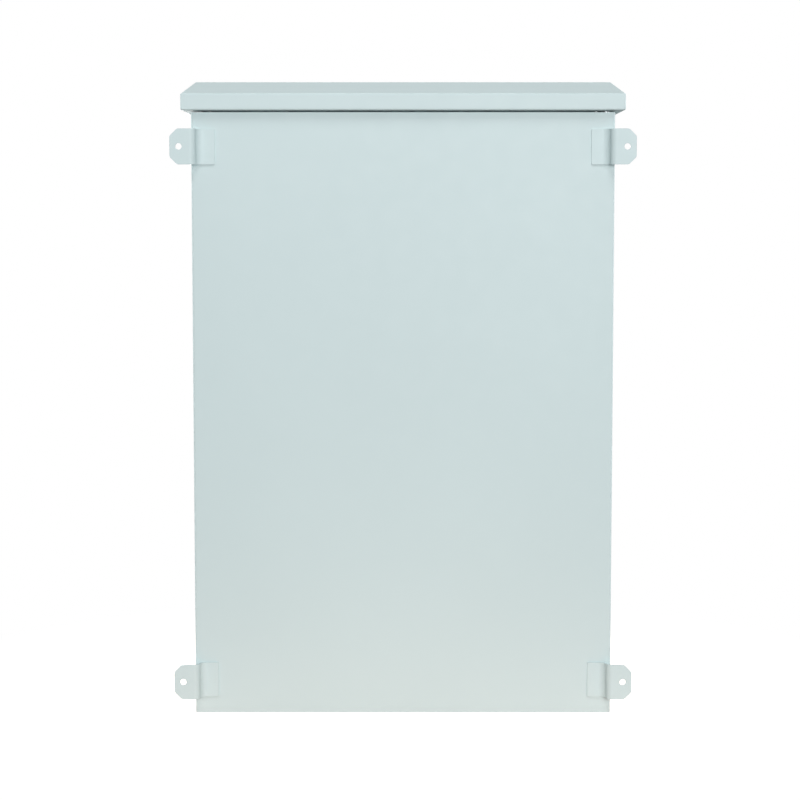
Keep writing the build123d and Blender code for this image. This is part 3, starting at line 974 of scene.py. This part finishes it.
@dataclass(frozen=True)
class FastenerSet:
    """Identical fasteners that share one CAD node."""

    node: str
    body: str
    heading: Heading
    finish: Finish = ZINC

    def size(self) -> tuple[float, float]:
        """Returns the width over flats and the length of one fastener."""
        box = solids_of(self.node)[0]
        return self.heading.flats_of(box), self.heading.length_of(box)

    def lay_out(self, model: Piece) -> None:
        """Copies a model to each fastener's place and stands it in for the node.

        Args:
            model: Upright model, which is used up.
        """
        feet = [self.heading.foot_of(box) for box in solids_of(self.node)]
        piece = set_out(f"{self.node}_dressed", model, feet, self.heading)
        put_in_place(piece, self.body, self.finish, self.node)

    def nuts(self, bore: float) -> None:
        """Dresses the node as nuts of its own size, with a bore of this radius."""
        self.lay_out(HexNut(*self.size(), bore).build())

    def washers(self, bore: float, ease: float) -> None:
        """Dresses the node as round washers of its own size.

        Args:
            bore: Radius of the bore.
            ease: Width of the chamfer on each edge.
        """
        width, length = self.size()
        disc = Shaper.bar(f"{self.node}_model", ROUND_SIDES, width / 2, length)
        disc.pick(
            Element.EDGE,
            lambda edge: abs(edge.verts[0].co.z - edge.verts[1].co.z) < MERGE_DISTANCE,
        )
        disc.bevel(ease, EASED_STEPS)
        disc.combine(spindle(bore, length, bore + ease, ease), Joining.CUT_AWAY)
        self.lay_out(disc.done())

    def studs(self, thread: Thread, collar: Collar | None = None) -> None:
        """Dresses the node as studs of its own length.

        Args:
            thread: The stud's thread.
            collar: Collar below the thread, if any.
        """
        _, length = self.size()
        foot = collar.length if collar else 0.0
        parts = [ThreadedBar(thread, length - foot, foot).build()]
        if collar:
            parts.append(collar.build())
        self.lay_out(weld_together(f"{self.node}_model", parts))

    def screws(self, thread: Thread, head: float) -> None:
        """Dresses the node as hexagon screws of its own length.

        Args:
            thread: The screw's thread.
            head: Height of the head.
        """
        flats, length = self.size()
        shank = ThreadedBar(thread, length - head, head).build()
        top = HexNut(flats, head, bore=0.0).build()
        self.lay_out(weld_together(f"{self.node}_model", [shank, top]))


@dataclass(frozen=True)
class RubberRing:
    """Rubber ring of even width, cut or moulded to a rounded rectangle."""

    node: str
    body: str
    heading: Heading
    width: float
    corner: float
    crown: float
    crown_steps: int = 3
    corner_steps: int = 10
    run_length: float = 0.02
    whole_runs: int = 4
    shade_angle: float = math.radians(60)

    def build(self) -> None:
        """Models the ring in place and stands it in for its node."""
        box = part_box(self.node)
        along = self.heading.vector()
        foot = self.heading.foot_of(box)
        thickness = self.heading.length_of(box)
        width, height = self.heading.across(box)
        ring = Shaper.sheet(f"{self.node}_dressed", foot, width, height, self.heading)
        ring.pick_all()
        ring.bevel(self.corner, self.corner_steps, Element.VERTEX)
        ring.pick(Element.FACE, lambda face: True)
        bpy.ops.mesh.inset(thickness=self.width)
        bpy.ops.mesh.delete(type="FACE")
        self._divide(ring)
        ring.pick_all()
        ring.extrude(along * thickness)
        crest = foot.dot(along) + thickness - LEVEL_TOLERANCE
        ring.pick(
            Element.EDGE,
            lambda edge: all(end.co.dot(along) > crest for end in edge.verts)
            and any(abs(face.normal.dot(along)) < ALONG for face in edge.link_faces),
        )
        ring.bevel(self.crown, self.crown_steps)
        put_in_place(ring.done(self.shade_angle), self.body, RUBBER, self.node)

    def _divide(self, ring: Shaper) -> None:
        """Divides the long runs of the ring into even lengths.

        Args:
            ring: The flat ring, open for editing.
        """
        mesh = bmesh.from_edit_mesh(ring.piece.data)
        lengths = {round(edge.calc_length(), LENGTH_DIGITS) for edge in mesh.edges}
        for length in sorted(lengths, reverse=True):
            if length < self.whole_runs * self.run_length:
                break
            ring.pick(
                Element.EDGE,
                lambda edge: abs(edge.calc_length() - length) < 10**-LENGTH_DIGITS,
            )
            bpy.ops.mesh.subdivide(number_cuts=int(length / self.run_length))


@dataclass(frozen=True)
class CaseShell:
    """Folded case: rear panel and sides, pans and door frame."""

    nodes: tuple[str, ...] = ("case_wrap", "case_top", "case_bottom", "front_frame")

    def dress(self) -> None:
        """Paints the case."""
        PAINT.coat_nodes(*self.nodes)


@dataclass(frozen=True)
class FixingLugs:
    """Four joggled lugs on the rear panel."""

    ends: tuple[str, ...] = ("upper", "lower")
    sides: tuple[str, ...] = ("left", "right")

    def dress(self) -> None:
        """Paints the lugs with the case."""
        PAINT.coat_nodes(*(f"lug_{end}_{side}" for end in self.ends for side in self.sides))


@dataclass(frozen=True)
class RainRoof:
    """Folded roof on its spacers, screws and weld nuts."""

    thread: Thread = M8
    head: float = 0.0053

    def dress(self) -> None:
        """Paints the roof and models its fixings."""
        PAINT.coat_nodes("rain_roof")
        ZINC.coat_nodes("roof_spacers")
        FastenerSet("roof_screws", "cabinet", Heading.UP).screws(self.thread, self.head)
        FastenerSet("roof_nuts", "cabinet", Heading.UP).nuts(self.thread.bore())


@dataclass(frozen=True)
class SpotWeld:
    """Shallow round mark that a spot-welding tip leaves."""

    radius: float = 0.003
    height: float = 2.5e-4
    dish: float = 1.6e-4
    sides: int = 20
    rim_share: float = 0.28
    slope_share: float = 0.12
    outer_share: float = 0.9
    ease_share: float = 0.6
    shade_angle: float = math.radians(50)

    def build(self) -> Piece:
        """Models the mark upright on the origin.

        Returns:
            The mark.
        """
        mark = Shaper.bar("spot_weld", self.sides, self.radius, self.height)
        mark.pick(Element.FACE, lambda face: face.normal.z > FACING)
        bpy.ops.mesh.inset(thickness=self.radius * self.rim_share)
        bpy.ops.mesh.inset(thickness=self.radius * self.slope_share, depth=-self.dish)
        outer = self.radius * self.outer_share
        mark.pick(
            Element.EDGE,
            lambda edge: all(abs(end.co.z - self.height) < MERGE_DISTANCE for end in edge.verts)
            and all(end.co.xy.length > outer for end in edge.verts),
        )
        mark.bevel(self.height * self.ease_share, EASED_STEPS)
        return mark.done(self.shade_angle)


@dataclass(frozen=True)
class WeldBead:
    """Rippled fillet weld."""

    length: float
    leg: float = 0.0026
    pitch_share: float = 0.55
    drop_sides: int = 16
    drop_rings: int = 10
    squash: float = 0.8
    grain_share: float = 0.16
    smoothing: float = 0.5
    smoothing_rounds: int = 3

    def build(self) -> Piece:
        """Models the bead upright on the origin.

        Returns:
            The bead.
        """
        clear_selection()
        centre = (0, 0, self.leg)
        bpy.ops.mesh.primitive_uv_sphere_add(
            segments=self.drop_sides,
            ring_count=self.drop_rings,
            radius=self.leg,
            location=centre,
        )
        drop = Shaper("weld_bead")
        drop.pick_all()
        bpy.ops.transform.resize(value=(1.0, 1.0, self.squash), center_override=centre)
        pitch = self.leg * self.pitch_share
        drop.apply(
            "ARRAY",
            count=int((self.length - 2 * self.leg) / pitch),
            use_relative_offset=False,
            use_constant_offset=True,
            constant_offset_displace=(0, 0, pitch),
        )
        drop.apply("REMESH", mode="VOXEL", voxel_size=self.leg * self.grain_share)
        drop.apply("SMOOTH", factor=self.smoothing, iterations=self.smoothing_rounds)
        return drop.done(SMOOTH_ALL)


@dataclass(frozen=True)
class Hinges:
    """Three lift-off hinges with their pins, washers and weld beads."""

    names: tuple[str, ...] = ("upper", "middle", "lower")
    web: float = 0.004
    web_corner: float = 0.003

    def dress(self) -> None:
        """Finishes the hinge parts and welds the frame halves on."""
        for name in self.names:
            PAINT.coat_nodes(f"hinge_frame_half_{name}", f"hinge_door_half_{name}")
            ZINC.coat_nodes(f"hinge_pin_{name}")
            BRASS.coat_nodes(f"hinge_washer_{name}")
            self._weld(name)

    def _weld(self, name: str) -> None:
        """Lays a bead along each side of a frame half's web.

        Args:
            name: Which hinge.
        """
        low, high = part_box(f"hinge_frame_half_{name}")
        middle = (low.x + high.x) / 2
        bead = WeldBead(high.z - low.z - self.web_corner).build()
        foot = low.z + self.web_corner
        feet = [Vector((middle + way * self.web / 2, high.y, foot)) for way in (-1, 1)]
        put_in_place(set_out(f"hinge_welds_{name}", bead, feet, Heading.UP), "cabinet", PAINT)


@dataclass(frozen=True)
class BondingPoint:
    """Bonding stud with its nut."""

    name: str
    body: str
    heading: Heading
    thread: Thread = M8
    foot: Collar = Collar(0.007, 0.003)

    def dress(self) -> None:
        """Models the stud and its nut."""
        FastenerSet(f"{self.name}_stud", self.body, self.heading).studs(self.thread, self.foot)
        FastenerSet(f"{self.name}_nut", self.body, self.heading).nuts(self.thread.bore())


@dataclass(frozen=True)
class Door:
    """Folded door with its stiffeners, seal and bonding point."""

    stiffeners: tuple[str, ...] = ("door_stiffener_left", "door_stiffener_right")
    stiffener_sheet: float = 0.0015
    stiffener_foot: float = 0.016
    weld_pitch: float = 0.06
    weld_inset: float = 0.02
    weld_share: float = 0.45
    seal: RubberRing = RubberRing(
        "door_seal", "door", Heading.REAR, width=0.014, corner=0.021, crown=0.0055, crown_steps=6
    )
    bonding: BondingPoint = BondingPoint("door_earth", "door", Heading.REAR)

    def dress(self) -> None:
        """Paints the door and models what it carries."""
        PAINT.coat_nodes("door_panel", *self.stiffeners)
        self.seal.build()
        for node in self.stiffeners:
            self._spot_weld(node)
        self.bonding.dress()

    def _spot_weld(self, node: str) -> None:
        """Marks the spot welds along both feet of a stiffener.

        Args:
            node: CAD node of the stiffener.
        """
        low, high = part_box(node)
        run = high.z - low.z - 2 * self.weld_inset
        count = round(run / self.weld_pitch) + 1
        levels = [low.z + self.weld_inset + index * run / (count - 1) for index in range(count)]
        inset = self.stiffener_foot * self.weld_share
        sides = (low.x + inset, high.x - inset)
        face = low.y + self.stiffener_sheet
        places = [Vector((side, face, level)) for side in sides for level in levels]
        marks = set_out(f"{node}_spot_welds", SpotWeld().build(), places, Heading.REAR)
        put_in_place(marks, "door", PAINT)


@dataclass(frozen=True)
class Locks:
    """Two quarter-turn locks with their cams."""

    names: tuple[str, ...] = ("upper", "lower")
    gasket_bore: float = 0.0113
    gasket_ease: float = 3.0e-4
    nut_bore: float = 0.01105
    cam_screw_head: float = 0.004
    cam_screw_thread: Thread = M6

    def dress(self) -> None:
        """Finishes both locks and models their nuts, screws and gaskets."""
        for name in self.names:
            low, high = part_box(f"lock_plug_{name}")
            centre = tuple((low + high) / 2)
            turned = TurnedMetal(f"turned_nickel_{name}", NICKEL.slot, NICKEL.colour, centre)
            turned.coat_nodes(f"lock_plug_{name}")
            NICKEL.coat_nodes(f"lock_housing_{name}")
            ZINC.coat_nodes(f"lock_cam_{name}")
            FastenerSet(f"lock_nut_{name}", "door", Heading.REAR).nuts(self.nut_bore)
            FastenerSet(f"lock_cam_screw_{name}", f"lock_{name}", Heading.FRONT).screws(
                self.cam_screw_thread, self.cam_screw_head
            )
            FastenerSet(f"lock_gasket_{name}", "door", Heading.FRONT, RUBBER).washers(
                self.gasket_bore, self.gasket_ease
            )


@dataclass(frozen=True)
class EquipmentPlate:
    """Galvanised plate on four stand-off studs."""

    thread: Thread = M8
    collar_radius: float = 0.008

    def dress(self) -> None:
        """Finishes the plate and models its studs and nuts."""
        GALVANISED.coat_nodes("mounting_plate")
        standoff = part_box("plate_studs")[1].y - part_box("mounting_plate")[1].y
        collar = Collar(self.collar_radius, standoff)
        FastenerSet("plate_studs", "cabinet", Heading.FRONT).studs(self.thread, collar)
        FastenerSet("plate_nuts", "cabinet", Heading.FRONT).nuts(self.thread.bore())


@dataclass(frozen=True)
class CableEntries:
    """Two blank gland plates on gaskets in the case bottom."""

    sides: tuple[str, ...] = ("left", "right")
    gasket_width: float = 0.018
    gasket_corner: float = 0.008
    gasket_crown: float = 8.0e-4
    thread: Thread = M6

    def dress(self) -> None:
        """Finishes the plates and models gaskets, studs and nuts."""
        for side in self.sides:
            GALVANISED.coat_nodes(f"gland_plate_{side}")
            RubberRing(
                f"gland_gasket_{side}",
                "cabinet",
                Heading.UP,
                self.gasket_width,
                self.gasket_corner,
                self.gasket_crown,
            ).build()
        FastenerSet("gland_studs", "cabinet", Heading.UP).studs(self.thread)
        FastenerSet("gland_nuts", "cabinet", Heading.UP).nuts(self.thread.bore())


@dataclass(frozen=True)
class SoftBox:
    """Large square light that faces a point of the cabinet."""

    name: str
    place: Place
    target: Place
    size: float
    power: float
    colour: tuple[float, float, float]

    def build(self) -> None:
        """Hangs the light."""
        lamp = bpy.data.lights.new(self.name, "AREA")
        lamp.shape = "SQUARE"
        lamp.size = self.size
        lamp.energy = self.power
        lamp.color = self.colour
        holder = bpy.data.objects.new(self.name, lamp)
        bpy.context.scene.collection.objects.link(holder)
        holder.location = self.place
        aim = Vector(self.target) - Vector(self.place)
        holder.rotation_euler = aim.to_track_quat("-Z", "Y").to_euler()


KEY_WHITE = (1.0, 0.99, 0.985)
FILL_WHITE = (1.0, 0.99, 0.98)


@dataclass(frozen=True)
class Studio:
    """Pale floor, soft light and the camera of the photograph."""

    camera_place: Place = (0.00155, 4.0359, 0.9470)
    camera_dip: float = 4.983
    camera_turn: float = 180.0615
    camera_lens: float = 92.75
    sensor: float = 36.0
    floor_half: float = 12.0
    floor_squares: int = 8
    floor_rough: float = 0.8
    floor_colour: Colour = (0.66, 0.52, 0.45, 1.0)
    floor_glow: Colour = (1.0, 0.64, 0.44, 1.0)
    floor_light: float = 0.18
    floor_shown: float = 0.9
    floor_near: float = 0.30
    floor_far: float = 1.1
    far_light: float = 0.22
    sky_light: float = 0.20
    backdrop: float = 1.0
    white: Colour = (1.0, 1.0, 1.0, 1.0)
    lights: tuple[SoftBox, ...] = (
        SoftBox("rear_softbox", (-0.75, 6.5, 1.8), (0.0, 0.12, 0.6), 2.0, 246.0, KEY_WHITE),
        SoftBox("high_softbox", (-0.3, 3.2, 5.0), (0.0, 0.12, 0.8), 2.4, 88.0, KEY_WHITE),
        SoftBox("front_softbox", (0.8, -6.4, 1.2), (0.0, -0.12, 0.7), 1.8, 205.0, FILL_WHITE),
        SoftBox("left_softbox", (-4.2, -0.9, 1.5), (-0.4, 0.0, 0.6), 1.5, 95.0, FILL_WHITE),
        SoftBox("right_softbox", (4.2, -0.9, 1.5), (0.4, 0.0, 0.6), 1.5, 95.0, FILL_WHITE),
        SoftBox("roof_softbox", (0.0, -1.6, 4.6), (0.0, -0.1, 0.8), 2.2, 54.0, FILL_WHITE),
    )

    def build(self) -> None:
        """Sets up the studio."""
        self._floor()
        self._world()
        for light in self.lights:
            light.build()
        self._camera()
        bpy.context.scene.view_settings.view_transform = "Standard"

    def _floor(self) -> None:
        """Lays a floor that fades into the white backdrop away from the cabinet.

        It is shown white, and lights the cabinet with a warmer and dimmer glow.
        """
        clear_selection()
        bpy.ops.mesh.primitive_grid_add(
            x_subdivisions=self.floor_squares,
            y_subdivisions=self.floor_squares,
            size=2 * self.floor_half,
        )
        floor = bpy.context.object
        floor.name = "studio_floor"
        material = bpy.data.materials.new("studio_floor")
        material.use_nodes = True
        sheet = NodeSheet(material.node_tree)
        place = sheet.add("ShaderNodeTexCoord").outputs["Object"]
        reach = sheet.add("ShaderNodeVectorMath", {0: place}, operation="LENGTH").outputs["Value"]
        fade = sheet.add(
            "ShaderNodeMapRange",
            {"Value": reach, "From Min": self.floor_near, "From Max": self.floor_far},
            interpolation_type="SMOOTHSTEP",
        )
        seen = sheet.add("ShaderNodeLightPath").outputs["Is Camera Ray"]
        paper = sheet.add(
            "ShaderNodeBsdfPrincipled",
            {
                "Base Color": self.floor_colour,
                "Roughness": self.floor_rough,
                "Emission Color": sheet.mix(Blend.COLOUR, seen, self.floor_glow, self.white),
                "Emission Strength": sheet.spread(seen, self.floor_light, self.floor_shown),
            },
        )
        far_glow = sheet.spread(seen, self.far_light, self.backdrop)
        glow = sheet.add("ShaderNodeEmission", {"Strength": far_glow})
        blend = sheet.add(
            "ShaderNodeMixShader",
            {0: fade.outputs["Result"], 1: paper.outputs["BSDF"], 2: glow.outputs["Emission"]},
        )
        sheet.add("ShaderNodeOutputMaterial", {"Surface": blend.outputs["Shader"]})
        floor.data.materials.append(material)

    def _world(self) -> None:
        """Lights the room evenly and shows it white."""
        world = bpy.data.worlds.new("studio")
        bpy.context.scene.world = world
        world.use_nodes = True
        sheet = NodeSheet(world.node_tree)
        path = sheet.add("ShaderNodeLightPath")
        sky = sheet.add("ShaderNodeBackground", {"Color": self.white, "Strength": self.sky_light})
        white = sheet.add("ShaderNodeBackground", {"Color": self.white, "Strength": self.backdrop})
        blend = sheet.add(
            "ShaderNodeMixShader",
            {0: path.outputs["Is Camera Ray"], 1: sky.outputs[0], 2: white.outputs[0]},
        )
        sheet.add("ShaderNodeOutputWorld", {"Surface": blend.outputs["Shader"]})

    def _camera(self) -> None:
        """Stands the camera where the photograph was taken from."""
        lens = bpy.data.cameras.new("photo_camera")
        lens.lens = self.camera_lens
        lens.sensor_width = self.sensor
        camera = bpy.data.objects.new("photo_camera", lens)
        bpy.context.scene.collection.objects.link(camera)
        camera.location = self.camera_place
        tilt = math.radians(90 - self.camera_dip)
        camera.rotation_euler = (tilt, 0.0, math.radians(self.camera_turn))
        bpy.context.scene.camera = camera


def main() -> None:
    """Dresses the sub-assemblies in order and sets up the studio."""
    logging.basicConfig(level=logging.INFO, format="%(name)s: %(message)s")
    CaseShell().dress()
    FixingLugs().dress()
    RainRoof().dress()
    Door().dress()
    Hinges().dress()
    Locks().dress()
    EquipmentPlate().dress()
    CableEntries().dress()
    BondingPoint("case_earth", "cabinet", Heading.RIGHT).dress()
    Studio().build()


if __name__ == "__main__":
    main()
